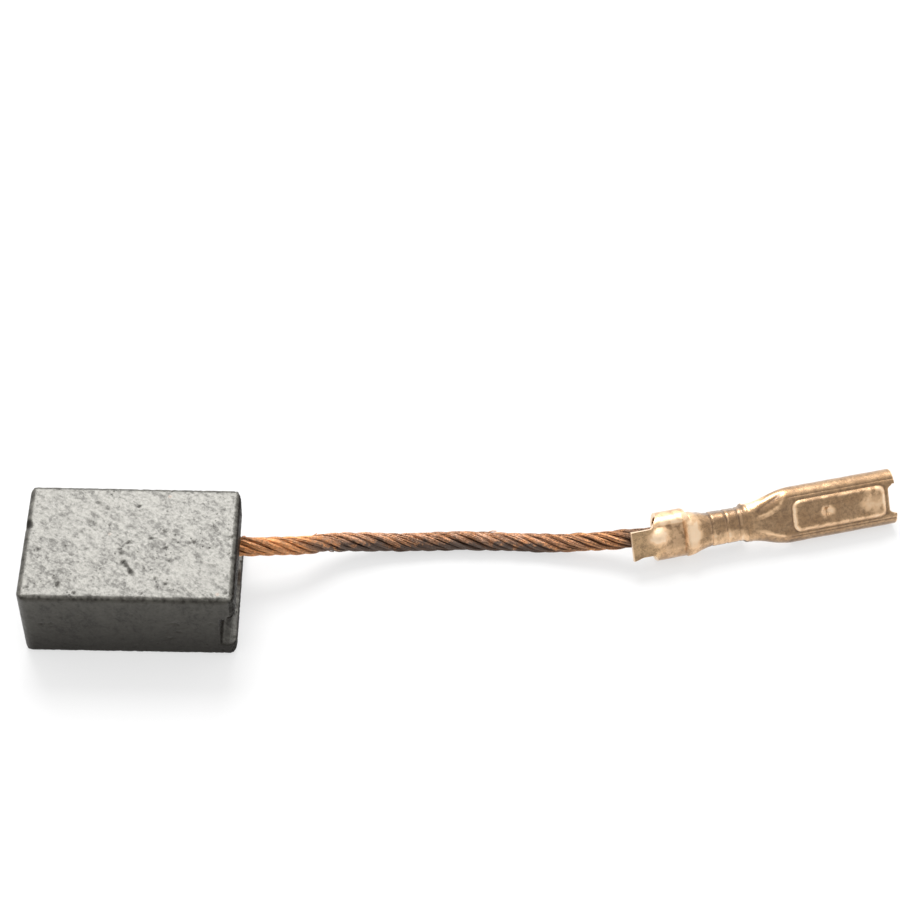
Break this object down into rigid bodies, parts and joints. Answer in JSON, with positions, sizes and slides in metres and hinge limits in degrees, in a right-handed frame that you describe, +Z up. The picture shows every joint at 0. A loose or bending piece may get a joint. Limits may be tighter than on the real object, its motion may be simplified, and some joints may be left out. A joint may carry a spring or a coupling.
{
  "type": "carbon brush with lead and receptacle terminal",
  "caption": "Rectangular carbon motor brush with a spring groove across its wire end, a stranded copper lead and a crimped brass receptacle terminal.",
  "frame": {"origin": "under the middle of the carbon block, on the surface that it lies on", "axes": "+X along the block from the contact face towards the lead, +Y across its width, +Z up through its thickness"},
  "size_m": [0.0594, 0.0148, 0.0061],
  "materials": {
    "carbon": "matte pressed carbon graphite, finely pitted",
    "contact_powder": "matte packed metal powder",
    "copper_strand": "bare copper wire, dulled in places",
    "terminal_brass": "satin pressed brass with light tarnish"
  },
  "bodies": {
    "root": {"carbon_block": "carbon", "tamping_plug": "contact_powder", "lead": "copper_strand", "terminal": "terminal_brass"}
  },
  "joints": []
}
